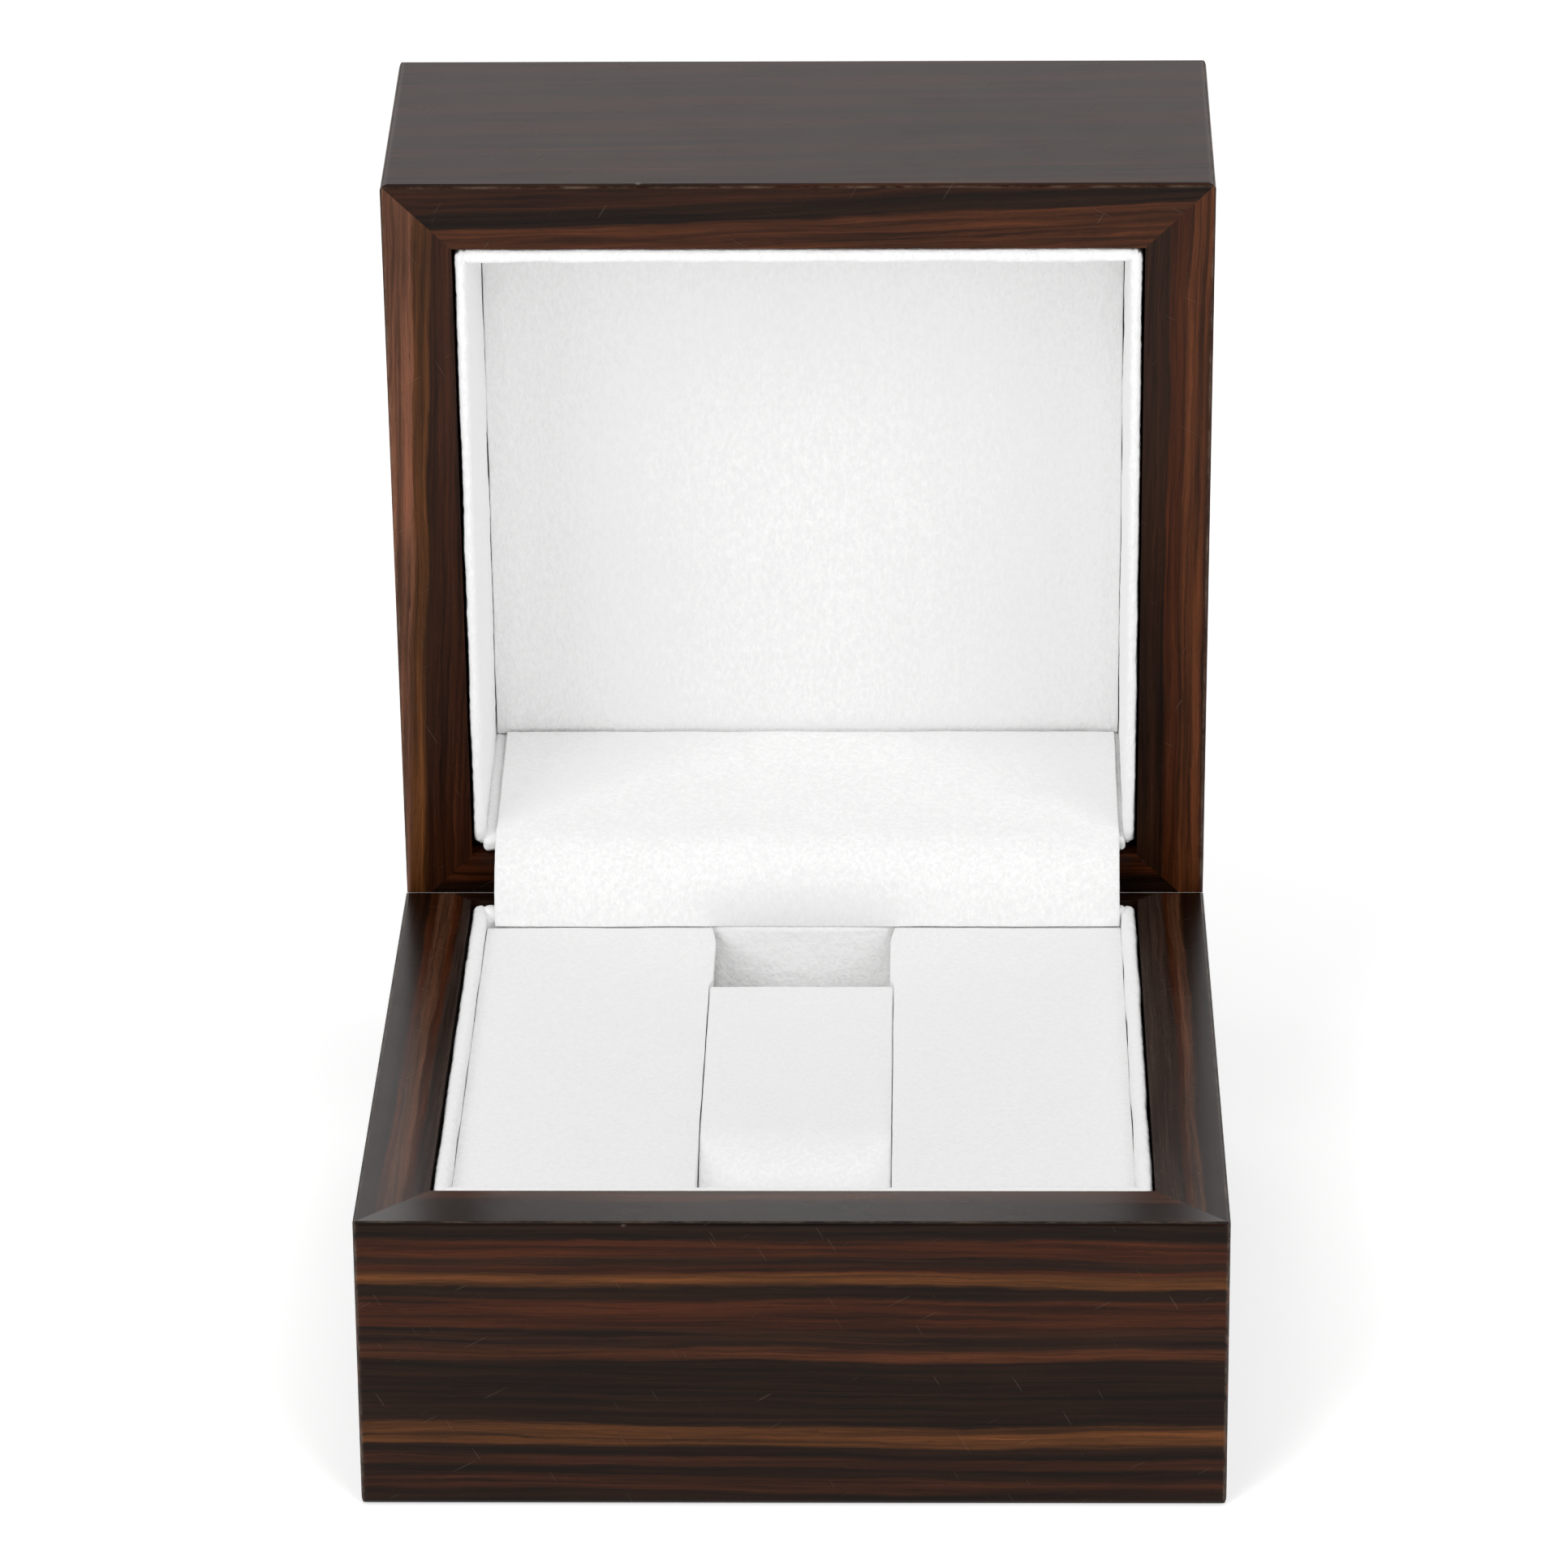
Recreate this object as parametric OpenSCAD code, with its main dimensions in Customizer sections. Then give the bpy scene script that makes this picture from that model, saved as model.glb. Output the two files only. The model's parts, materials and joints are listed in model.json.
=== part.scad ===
// Single watch box: mitred veneered case, spring-hinged lid, suede lining and a watch collar.
// All sizes are in mm. The origin is the centre of the underside, X runs to the right seen
// from the front, Y runs back to the hinge and Z runs up. The lid is drawn fully open.

/* [Case] */
// Outside width of the box, left to right
box_w = 110; // [104:1:116]
// Outside depth of the box, front to back
box_d = 110; // [104:1:116]
// Height of the base from the table to its rim
base_h = 40; // [38:0.5:44]
// Height of the lid from its rim to its outer top
lid_h = 42; // [40:0.5:45]
// Thickness of the side walls
wall_t = 9.2; // [8.8:0.1:10]
// Thickness of the lid's top panel
top_t = 6; // [4:0.5:7]
// Thickness of the base's bottom panel
floor_t = 3.5; // [3:0.5:4.5]
// Thickness of the felt under the base
felt_t = 0.5; // [0.4:0.1:1]
// How far the felt stays in from the walls around it
felt_in = 0.5; // [0.3:0.1:3]
// How far the felt stands below the walls
felt_low = 0.1; // [0.1:0.05:0.3]
// Radius on the outer edges of the case
edge_r = 1; // [0.8:0.1:1.4]
// Radius on the outer edge of each rim
rim_r = 0.5; // [0.3:0.1:0.6]
// Gap between the two rims when the lid is closed
rim_gap = 0.4; // [0.3:0.05:0.5]

/* [Hinge] */
// Angle the lid stands open
open_angle = 84; // [82:0.5:86]
// Distance of the hinge axis in front of the back face
pivot_in = 4.5; // [4.3:0.1:4.7]
// Width of the bevel along the base's back rim
base_bevel_w = 6.6; // [6.4:0.1:6.8]
// Slope of the base's bevel below level
base_bevel_a = 23; // [22:0.5:24]
// Clearance between the two bevels when the lid is open
bevel_clear = 0.05; // [0.03:0.01:0.08]
// Length of the hinge along its axis
hinge_len = 40; // [36:1:44]
// Thickness of the hinge leaves
leaf_t = 1; // [0.8:0.1:1.1]
// How far each leaf reaches along the inside of its wall
leaf_drop = 14; // [13:0.5:16]
// Outer radius of the hinge knuckles
knuckle_r = 2; // [1.9:0.05:2.1]
// Radius of the hinge pin
pin_r = 0.8; // [0.7:0.05:0.9]
// Radial clearance between the pin and the lid's knuckles
pin_clear = 0.05; // [0.03:0.01:0.08]
// Wire diameter of the hinge spring
wire_d = 0.8; // [0.7:0.05:0.8]
// Turns in the hinge spring
spring_turns = 9; // [7:1:9]

/* [Lining] */
// Thickness of the suede-covered cuff strips
cuff_t = 2; // [1.8:0.1:2.2]
// Gap between each cuff and its wall
cuff_gap = 0.3; // [0.2:0.05:0.4]
// How far the cuffs stop short of the rim
cuff_low = 0.2; // [0.1:0.05:0.4]
// Corner radius of the side cuffs beside the rims
cuff_r = 3; // [2:0.5:4]
// Depth of the side boards below the rim
board_low = 2.3; // [2:0.1:3]
// Thickness of the side boards
board_t = 3.8; // [3:0.2:5]
// Width of the channel between the side boards
channel_w = 25; // [24.6:0.1:26]
// Thickness of the suede on the channel's sides
skin_t = 0.8; // [0.6:0.1:1]
// Thickness of the pad on the floor of the channel
floor_pad_t = 1.6; // [1.2:0.2:2]
// Depth of the lid's inside from its rim to the ceiling pad
lid_depth = 30.4; // [29:0.2:32]
// Width of the suede flap over the hinge
flap_w = 85.8; // [80:0.2:86]
// Thickness of the flap
flap_t = 0.8; // [0.6:0.1:1]
// Radius of the flap where it turns over the hinge
flap_r = 9; // [8:0.25:10]
// How far the flap reaches below the base's rim
flap_low = 4; // [3.5:0.1:5]

/* [Watch collar] */
// Width of the collar across the strap
collar_w = 24; // [22:0.1:24.4]
// Length of the collar, front to back
collar_len = 60.8; // [56:0.2:62]
// Distance from the collar's back end to the box's back face
collar_back = 31.6; // [30:0.2:33]
// Thickness of the padding on the collar
collar_pad_t = 4; // [3:0.2:4.6]
// Thickness of the collar's spring core
collar_core_t = 2; // [1.6:0.1:2.4]

/* [Screws] */
// Shank radius of the hinge screws
screw_r = 1; // [0.8:0.05:1.1]
// Head radius of the hinge screws
screw_head_r = 2; // [1.7:0.05:2.1]
// Length of the hinge screws, heads included
screw_len = 7; // [6:0.5:7.5]
// Distance from the middle to the inner screws
screw_x_in = 8; // [7:0.5:9]
// Distance from the middle to the outer screws
screw_x_out = 16; // [14:0.5:16.5]

/* [Hidden] */
$fn = 64;
over = 1;                                   // how far a cutter runs past a face
slip = 0.05;                                // hairline between pieces that move apart
play = 0.3;                                 // room around the hinge barrel

in_w = box_w - 2 * wall_t;                  // inside of the walls
in_d = box_d - 2 * wall_t;
back_y = box_d / 2;                         // back face
pivot_y = back_y - pivot_in;
pivot_z = base_h + rim_gap / 2;
lid_z = base_h + rim_gap;                   // lid's rim when closed
floor_z = felt_t + floor_t;                 // top of the bottom panel
felt_r = 2;                                 // corner radius of the felt
wall_face_y = in_d / 2;                     // inner face of the back wall

// The lid's bevel lands flat on the base's bevel at the open angle
lid_bevel_a = open_angle - base_bevel_a;
stop_d = (base_bevel_w - pivot_in) * sin(base_bevel_a)
       + rim_gap / 2 * cos(base_bevel_a) - bevel_clear;
lid_bevel_w = pivot_in
       - (stop_d + rim_gap / 2 * cos(lid_bevel_a)) / sin(lid_bevel_a);

cuff_x = in_w / 2 - cuff_gap - cuff_t;      // inner face of the side cuffs
cuff_y = in_d / 2 - cuff_gap - cuff_t;      // inner face of the front and back cuffs
joint_gap = 0.1;                            // hairline between neighbouring lining pieces

board_z = base_h - board_low;               // top of the side boards
board_under = board_z - board_t;
channel_x = channel_w / 2;
well_z = floor_z + floor_pad_t;             // top of the channel's floor pad

flap_face_y = cuff_y - slip - flap_t;       // front face of the flap in the base
leaf_half_gap = 0.1;                        // half the space between the closed leaves

collar_top = board_z - 0.2;
collar_bot = well_z + slip;
collar_ro = (collar_top - collar_bot) / 2;  // outside radius of the front bend
collar_mid_z = (collar_top + collar_bot) / 2;
collar_y1 = back_y - collar_back;           // back end
collar_y0 = collar_y1 - collar_len;         // foremost point
collar_cy = collar_y0 + collar_ro;          // centre of the front bend
collar_slit = 0.2;                          // half the slit at the flex line

knuckle_w = 7.5;                            // width of one knuckle
knuckle_gap = 0.1;
spring_pitch = wire_d * 0.95;
spring_half = spring_pitch * (spring_turns - 1) / 2 + wire_d / 2;
coil_r = pin_r + pin_clear + 0.15 + wire_d / 2;
leg_x = spring_half + wire_d / 2 + slip;    // the spring's legs, either side of its coil
leg_z = leaf_half_gap + leaf_t / 2;         // their depth in the leaves
leg_y = sqrt(coil_r * coil_r - leg_z * leg_z);

// Position of a point of the closed lid once the lid stands open
function open_y(y, z) = pivot_y + (y - pivot_y) * cos(open_angle)
                      + (z - pivot_z) * sin(open_angle);
function open_z(y, z) = pivot_z - (y - pivot_y) * sin(open_angle)
                      + (z - pivot_z) * cos(open_angle);

// ---------- helpers ----------

// Turns the closed lid about the hinge axis to its open position
module opened() {
    translate([0, pivot_y, pivot_z])
        rotate([-open_angle, 0, 0])
            translate([0, -pivot_y, -pivot_z])
                children();
}

// Flips a base-side shape over to the lid side of the hinge axis
module lid_side() {
    translate([0, 0, pivot_z])
        mirror([0, 0, 1])
            translate([0, 0, -pivot_z])
                children();
}

// Extrudes a Y-Z outline along X, centred
module along_x(len) {
    rotate([90, 0, 90])
        linear_extrude(height = len, center = true)
            children();
}

// Extrudes an X-Z outline along Y, centred
module along_y(len) {
    rotate([90, 0, 0])
        linear_extrude(height = len, center = true)
            children();
}

// Upright rectangle standing on zero, with its own radii below and above
module soft_rect(w, h, r_low, r_high) {
    for (s = [-1, 1]) {
        translate([s * (w / 2 - r_low), r_low])
            circle(r = r_low);
        translate([s * (w / 2 - r_high), h - r_high])
            circle(r = r_high);
    }
    translate([-w / 2, r_low])
        square([w, h - r_low - r_high]);
    translate([-w / 2 + r_low, 0])
        square([w - 2 * r_low, h / 2]);
    translate([-w / 2 + r_high, h / 2])
        square([w - 2 * r_high, h / 2]);
}

// Plan of the case with rounded upright edges
module case_plan(r) {
    translate([0, -box_d / 2])
        soft_rect(box_w, box_d, r, r);
}

// Mitred plan of one wall: 0 front, 1 right, 2 back, 3 left
module wall_plan(side) {
    x = box_w / 2;
    y = box_d / 2;
    outer = [[-x, -y], [x, -y], [x, y], [-x, y]];
    inner = [[-x + wall_t, -y + wall_t], [x - wall_t, -y + wall_t],
             [x - wall_t, y - wall_t], [-x + wall_t, y - wall_t]];
    n = (side + 1) % 4;
    intersection() {
        case_plan(edge_r);
        polygon([outer[side], outer[n], inner[n], inner[side]]);
    }
}

// One wall from z to z + h, its outer edges rounded below and above
module wall(side, z, h, r_low, r_high) {
    translate([0, 0, z])
        intersection() {
            linear_extrude(height = h)
                wall_plan(side);
            if (side % 2 == 0)
                along_x(box_w + over) soft_rect(box_d, h, r_low, r_high);
            else
                along_y(box_d + over) soft_rect(box_w, h, r_low, r_high);
        }
}

// ---------- case ----------

// Wedge that bevels the base's back rim
module base_bevel_cut() {
    along_x(box_w + 2 * over)
        polygon([
            [back_y - base_bevel_w, base_h],
            [back_y + over, base_h - (base_bevel_w + over) * tan(base_bevel_a)],
            [back_y + over, base_h + over],
            [back_y - base_bevel_w, base_h + over]
        ]);
}

// Wedge that bevels the closed lid's back rim
module lid_bevel_cut() {
    along_x(box_w + 2 * over)
        polygon([
            [back_y - lid_bevel_w, lid_z],
            [back_y - lid_bevel_w, lid_z - over],
            [back_y + over, lid_z - over],
            [back_y + over, lid_z + (lid_bevel_w + over) * tan(lid_bevel_a)]
        ]);
}

// Seat for one leaf and the barrel, and the screws' pilot holes, on the base side
module hinge_recess() {
    len = hinge_len + 2 * play;
    seat_z = pivot_z - leaf_half_gap;
    translate([-len / 2, wall_face_y - over, seat_z - leaf_drop])
        cube([len, leaf_t + over, leaf_drop + over]);
    translate([-len / 2, wall_face_y - over, seat_z - leaf_t])
        cube([len, pivot_y - wall_face_y + over, leaf_t + over]);
    translate([0, pivot_y, pivot_z])
        rotate([0, 90, 0])
            cylinder(r = knuckle_r + play, h = len, center = true);
    screw_shanks();
}

module base_wall(side) {
    difference() {
        wall(side, felt_low, base_h - felt_low, edge_r, rim_r);
        if (side != 0)
            base_bevel_cut();
        if (side == 2)
            hinge_recess();
    }
}

module base_wall_front() {
    color([0.16, 0.09, 0.06]) base_wall(0);
}

module base_wall_right() {
    color([0.16, 0.09, 0.06]) base_wall(1);
}

module base_wall_back() {
    color([0.16, 0.09, 0.06]) base_wall(2);
}

module base_wall_left() {
    color([0.16, 0.09, 0.06]) base_wall(3);
}

module base_floor() {
    color([0.45, 0.36, 0.27])
        translate([-in_w / 2, -in_d / 2, felt_t])
            cube([in_w, in_d, floor_t]);
}

module underside_felt() {
    color([0.08, 0.08, 0.09])
        linear_extrude(height = felt_t)
            translate([0, -in_d / 2 + felt_in])
                soft_rect(in_w - 2 * felt_in, in_d - 2 * felt_in, felt_r, felt_r);
}

// Side view of the top panel: soft outer edges, mitred down to the walls
module panel_side(len) {
    intersection() {
        soft_rect(len, lid_h, rim_r, edge_r);
        polygon([
            [-len / 2, lid_h], [-len / 2 + top_t, lid_h - top_t],
            [len / 2 - top_t, lid_h - top_t], [len / 2, lid_h]
        ]);
    }
}

// The room the top panel takes out of the walls
module panel_cut(len) {
    polygon([
        [-len / 2 - over, lid_h + over], [-len / 2 + top_t, lid_h - top_t],
        [len / 2 - top_t, lid_h - top_t], [len / 2 + over, lid_h + over]
    ]);
}

module lid_wall(side) {
    opened()
        difference() {
            wall(side, lid_z, lid_h, rim_r, edge_r);
            translate([0, 0, lid_z])
                if (side % 2 == 0)
                    along_x(box_w + 2 * over) panel_cut(box_d);
                else
                    along_y(box_d + 2 * over) panel_cut(box_w);
            if (side != 0)
                lid_bevel_cut();
            if (side == 2)
                lid_side() hinge_recess();
        }
}

module lid_wall_front() {
    color([0.16, 0.09, 0.06]) lid_wall(0);
}

module lid_wall_right() {
    color([0.16, 0.09, 0.06]) lid_wall(1);
}

module lid_wall_back() {
    color([0.16, 0.09, 0.06]) lid_wall(2);
}

module lid_wall_left() {
    color([0.16, 0.09, 0.06]) lid_wall(3);
}

module lid_top_panel() {
    color([0.16, 0.09, 0.06])
        opened()
            translate([0, 0, lid_z])
                intersection() {
                    along_x(box_w + over) panel_side(box_d);
                    along_y(box_d + over) panel_side(box_w);
                    translate([0, 0, lid_h - top_t - over])
                        linear_extrude(height = top_t + 2 * over)
                            case_plan(edge_r);
                }
}

// ---------- hinge ----------

// Places children at the four screws of the base-side leaf, pointing into the wall
module screw_spots() {
    for (x = [-screw_x_out, -screw_x_in, screw_x_in, screw_x_out])
        translate([x, wall_face_y, pivot_z - leaf_half_gap - leaf_drop * 0.6])
            rotate([-90, 0, 0])
                children();
}

module screw_shanks() {
    screw_spots()
        cylinder(r = screw_r, h = screw_len);
}

module screws() {
    screw_spots() {
        cylinder(r1 = screw_head_r, r2 = screw_r, h = leaf_t);
        translate([0, 0, leaf_t])
            cylinder(r = screw_r, h = screw_len - leaf_t);
    }
}

// A stretch of cylinder on the hinge axis
module on_axis(x0, x1, r) {
    translate([x0, pivot_y, pivot_z])
        rotate([0, 90, 0])
            cylinder(r = r, h = x1 - x0);
}

// Start of the base's and the lid's knuckles, counted from the hinge's outer end
base_knuckle_x = hinge_len / 2 - knuckle_w;
lid_knuckle_x = base_knuckle_x - knuckle_gap - knuckle_w;

// One leaf on the base side: bent plate, two knuckles, room for the other leaf's knuckles
module leaf(own_x, other_x, bore) {
    top = pivot_z - leaf_half_gap;
    difference() {
        union() {
            along_x(hinge_len) {
                translate([wall_face_y, top - leaf_drop])
                    square([leaf_t, leaf_drop]);
                translate([wall_face_y, top - leaf_t])
                    square([pivot_y - wall_face_y, leaf_t]);
            }
            for (s = [-1, 1])
                on_axis(s * (own_x + knuckle_w / 2) - knuckle_w / 2,
                        s * (own_x + knuckle_w / 2) + knuckle_w / 2, knuckle_r);
        }
        for (s = [-1, 1])
            on_axis(s * (other_x + knuckle_w / 2) - knuckle_w / 2 - knuckle_gap,
                    s * (other_x + knuckle_w / 2) + knuckle_w / 2 + knuckle_gap,
                    knuckle_r + play);
        on_axis(-leg_x - wire_d, leg_x + wire_d, knuckle_r + play);
        on_axis(-hinge_len, hinge_len, bore);
        screw_spots() {
            cylinder(r1 = screw_head_r, r2 = screw_r, h = leaf_t);
            cylinder(r = screw_r, h = screw_len);
        }
        translate([leg_x - wire_d, wall_face_y + leaf_t, top - leaf_t - over])
            cube([2 * wire_d, pivot_y - wall_face_y, leaf_t + 2 * over]);
    }
}

module hinge_base_leaf() {
    color([0.72, 0.72, 0.74]) leaf(base_knuckle_x, lid_knuckle_x, pin_r);
}

module hinge_lid_leaf() {
    color([0.72, 0.72, 0.74])
        opened() lid_side() mirror([1, 0, 0])
            leaf(lid_knuckle_x, base_knuckle_x, pin_r + pin_clear);
}

module hinge_base_screws() {
    color([0.6, 0.6, 0.62]) screws();
}

module hinge_lid_screws() {
    color([0.6, 0.6, 0.62])
        opened() lid_side() screws();
}

module hinge_pin() {
    color([0.66, 0.66, 0.68])
        on_axis(-hinge_len / 2, hinge_len / 2, pin_r);
}

// Straight leg of the spring lying in the base leaf's slot
module spring_leg() {
    translate([leg_x, pivot_y - leg_y, pivot_z - leg_z])
        rotate([90, 0, 0])
            cylinder(r = wire_d / 2, h = pivot_y - leg_y - wall_face_y - leaf_t - slip);
}

module hinge_spring() {
    color([0.5, 0.5, 0.53]) {
        translate([0, pivot_y, pivot_z])
            rotate([0, 90, 0])
                rotate_extrude()
                    for (i = [0 : spring_turns - 1])
                        translate([coil_r, (i - (spring_turns - 1) / 2) * spring_pitch])
                            circle(r = wire_d / 2, $fn = 24);
        spring_leg();
    }
}

module hinge_spring_arm() {
    color([0.5, 0.5, 0.53])
        opened() lid_side() mirror([1, 0, 0]) spring_leg();
}

// ---------- lining ----------

// Outline of a side cuff: corners beside the rim are rounded
module cuff_side(len, h) {
    for (s = [-1, 1])
        translate([s * (len / 2 - cuff_r), h - cuff_r])
            circle(r = cuff_r);
    translate([-len / 2, 0])
        square([len, h - cuff_r]);
    translate([-len / 2 + cuff_r, 0])
        square([len - 2 * cuff_r, h]);
}

// The four cuffs of a tray that stands on zero: 0 front, 1 right, 2 back, 3 left
module cuff(side, h) {
    if (side % 2 == 1)
        translate([(side == 1 ? 1 : -1) * (cuff_x + cuff_t / 2), 0, 0])
            along_x(cuff_t) cuff_side(in_d - 2 * cuff_gap, h);
    else
        translate([-cuff_x + joint_gap, side == 0 ? -cuff_y - cuff_t : cuff_y, 0])
            cube([2 * cuff_x - 2 * joint_gap, cuff_t, h]);
}

module base_cuff(side) {
    color([0.93, 0.92, 0.90])
        translate([0, 0, floor_z])
            cuff(side, base_h - floor_z - cuff_low);
}

module base_cuff_front() {
    base_cuff(0);
}

module base_cuff_right() {
    base_cuff(1);
}

module base_cuff_back() {
    base_cuff(2);
}

module base_cuff_left() {
    base_cuff(3);
}

module lid_cuff(side) {
    color([0.93, 0.92, 0.90])
        opened()
            translate([0, 0, lid_z + lid_h - top_t])
                mirror([0, 0, 1])
                    cuff(side, lid_h - top_t - cuff_low);
}

module lid_cuff_front() {
    lid_cuff(0);
}

module lid_cuff_right() {
    lid_cuff(1);
}

module lid_cuff_back() {
    lid_cuff(2);
}

module lid_cuff_left() {
    lid_cuff(3);
}

module lid_ceiling_pad() {
    color([0.93, 0.92, 0.90])
        opened()
            translate([-cuff_x + joint_gap, -cuff_y + joint_gap, lid_z + lid_depth])
                cube([2 * (cuff_x - joint_gap), 2 * (cuff_y - joint_gap),
                      lid_h - top_t - lid_depth]);
}

// Left-hand piece that fills the tray from its side cuff to x1, between z0 and z1
module side_piece(x1, z0, z1) {
    y0 = -cuff_y + joint_gap;
    y1 = flap_face_y - joint_gap;
    translate([-cuff_x + joint_gap, y0, z0])
        cube([cuff_x - joint_gap - x1, y1 - y0, z1 - z0]);
}

module side_block_left() {
    color([0.62, 0.50, 0.36])
        side_piece(channel_x + skin_t, floor_z, board_under);
}

module side_block_right() {
    color([0.62, 0.50, 0.36])
        mirror([1, 0, 0]) side_piece(channel_x + skin_t, floor_z, board_under);
}

module side_board_left() {
    color([0.95, 0.94, 0.92])
        side_piece(channel_x, board_under, board_z);
}

module side_board_right() {
    color([0.95, 0.94, 0.92])
        mirror([1, 0, 0]) side_piece(channel_x, board_under, board_z);
}

module channel_lining(x) {
    color([0.90, 0.89, 0.87])
        translate([x, -cuff_y + joint_gap, floor_z])
            cube([skin_t, cuff_y + flap_face_y - 2 * joint_gap, board_under - floor_z]);
}

module channel_lining_left() {
    channel_lining(-channel_x - skin_t);
}

module channel_lining_right() {
    channel_lining(channel_x);
}

module channel_floor_pad() {
    color([0.90, 0.89, 0.87])
        translate([-channel_x, -cuff_y + joint_gap, floor_z])
            cube([channel_w, 2 * (cuff_y - joint_gap), floor_pad_t]);
}

// Middle line of the flap: up the base's back cuff, round the bend, along the lid's back cuff
flap_y = cuff_y - slip - flap_t / 2;
flap_cy = flap_y + flap_r;
flap_qy = open_y(flap_y - slip, lid_z);
flap_qz = open_z(flap_y - slip, lid_z);
flap_cz = flap_qz + ((flap_cy - flap_qy) * cos(open_angle) - flap_r) / sin(open_angle);
flap_end = [open_y(flap_y - slip, lid_z + lid_depth - slip),
            open_z(flap_y - slip, lid_z + lid_depth - slip)];
flap_n = [-cos(open_angle), sin(open_angle)];
flap_steps = 16;                            // facets round the flap's bend

// Points of the flap's bend at a radius, from the base's cuff towards the lid
function flap_arc(r, n) = [
    for (i = [0 : n])
        let (a = open_angle * i / n)
            [flap_cy - r * cos(a), flap_cz + r * sin(a)]
];

// The same points in the opposite order
function backwards(v) = [for (i = [len(v) - 1 : -1 : 0]) v[i]];

module hinge_flap() {
    h = flap_t / 2;
    foot = base_h - flap_low;
    color([0.95, 0.94, 0.92])
        along_x(flap_w)
            polygon(concat(
                [[flap_y - h, foot]],
                flap_arc(flap_r + h, flap_steps),
                [flap_end + flap_n * h, flap_end - flap_n * h],
                backwards(flap_arc(flap_r - h, flap_steps)),
                [[flap_y + h, foot]]
            ));
}

// ---------- watch collar ----------

// Layer of the C-shaped collar between two radii: straight leaf and quarter bend, upper half
module collar_layer(r_out, r_in) {
    intersection() {
        translate([collar_cy, collar_mid_z])
            difference() {
                circle(r = r_out);
                circle(r = r_in);
            }
        translate([collar_cy - collar_ro, collar_mid_z + collar_slit])
            square([collar_ro, collar_ro]);
    }
    translate([collar_cy, collar_mid_z + r_in])
        square([collar_y1 - collar_cy, r_out - r_in]);
}

module lower_half() {
    translate([0, 0, collar_mid_z])
        mirror([0, 0, 1])
            translate([0, 0, -collar_mid_z])
                children();
}

module collar_pad() {
    color([0.96, 0.95, 0.93])
        along_x(collar_w) collar_layer(collar_ro, collar_ro - collar_pad_t);
}

module collar_core() {
    color([0.85, 0.85, 0.83])
        along_x(collar_w - 2 * joint_gap)
            collar_layer(collar_ro - collar_pad_t - slip, collar_ro - collar_pad_t - collar_core_t);
}

module collar_pad_upper() {
    collar_pad();
}

module collar_core_upper() {
    collar_core();
}

module collar_pad_lower() {
    lower_half() collar_pad();
}

module collar_core_lower() {
    lower_half() collar_core();
}

base_wall_front();
base_wall_back();
base_wall_left();
base_wall_right();
base_floor();
underside_felt();
base_cuff_front();
base_cuff_back();
base_cuff_left();
base_cuff_right();
side_block_left();
side_block_right();
side_board_left();
side_board_right();
channel_lining_left();
channel_lining_right();
channel_floor_pad();
hinge_base_leaf();
hinge_base_screws();
hinge_pin();
hinge_spring();
hinge_flap();
lid_wall_front();
lid_wall_back();
lid_wall_left();
lid_wall_right();
lid_top_panel();
lid_cuff_front();
lid_cuff_back();
lid_cuff_left();
lid_cuff_right();
lid_ceiling_pad();
hinge_lid_leaf();
hinge_lid_screws();
hinge_spring_arm();
collar_core_lower();
collar_pad_lower();
collar_core_upper();
collar_pad_upper();
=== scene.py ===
"""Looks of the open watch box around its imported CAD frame. Metres; mm() turns millimetres into metres."""

import json
import math

import bmesh
import bpy
from mathutils import Matrix, Vector, noise


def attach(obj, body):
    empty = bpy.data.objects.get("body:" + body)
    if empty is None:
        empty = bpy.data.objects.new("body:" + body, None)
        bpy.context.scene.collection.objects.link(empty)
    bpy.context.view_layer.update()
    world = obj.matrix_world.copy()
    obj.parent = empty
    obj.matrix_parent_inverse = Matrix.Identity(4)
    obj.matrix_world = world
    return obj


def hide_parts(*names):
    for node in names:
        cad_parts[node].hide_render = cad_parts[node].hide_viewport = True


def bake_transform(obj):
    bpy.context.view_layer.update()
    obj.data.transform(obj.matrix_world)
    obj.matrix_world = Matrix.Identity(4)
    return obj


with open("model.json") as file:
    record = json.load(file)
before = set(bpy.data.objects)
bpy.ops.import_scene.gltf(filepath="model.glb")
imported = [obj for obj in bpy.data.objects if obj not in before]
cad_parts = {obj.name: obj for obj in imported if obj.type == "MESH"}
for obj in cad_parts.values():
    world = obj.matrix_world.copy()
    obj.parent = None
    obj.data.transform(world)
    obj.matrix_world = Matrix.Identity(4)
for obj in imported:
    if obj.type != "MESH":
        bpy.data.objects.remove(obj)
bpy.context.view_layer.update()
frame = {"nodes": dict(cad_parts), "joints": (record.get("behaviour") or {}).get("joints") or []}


def mm(v):
    return v * 0.001


# ---------------------------------------------------------------- frames

LID = [j for j in frame["joints"] if j["name"] == "lid_hinge"][0]
PIVOT = Vector(LID["pos_m"]) * 1000.0
OPEN = math.radians(LID["range_deg"][1])
LID_ROT = Matrix.Rotation(-OPEN, 3, "X")


def base_place(p):
    """Millimetres in the row frame."""
    return Vector(p) * 0.001


def lid_place(p):
    """Millimetres in the closed lid, moved to where the open lid is."""
    return (LID_ROT @ (Vector(p) - PIVOT) + PIVOT) * 0.001


def to_lid(p):
    """Metres in the row frame, back to millimetres in the closed lid."""
    return LID_ROT.transposed() @ (Vector(p) * 1000.0 - PIVOT) + PIVOT


def node_box(name, lid=False):
    """Lowest and highest corner of a CAD node in millimetres, in the closed lid's frame if asked."""
    cos = [v.co for v in frame["nodes"][name].data.vertices]
    pts = [to_lid(c) if lid else c * 1000.0 for c in cos]
    return (
        Vector([min(p[i] for p in pts) for i in range(3)]),
        Vector([max(p[i] for p in pts) for i in range(3)]),
    )


# ---------------------------------------------------------------- node helpers


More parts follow.
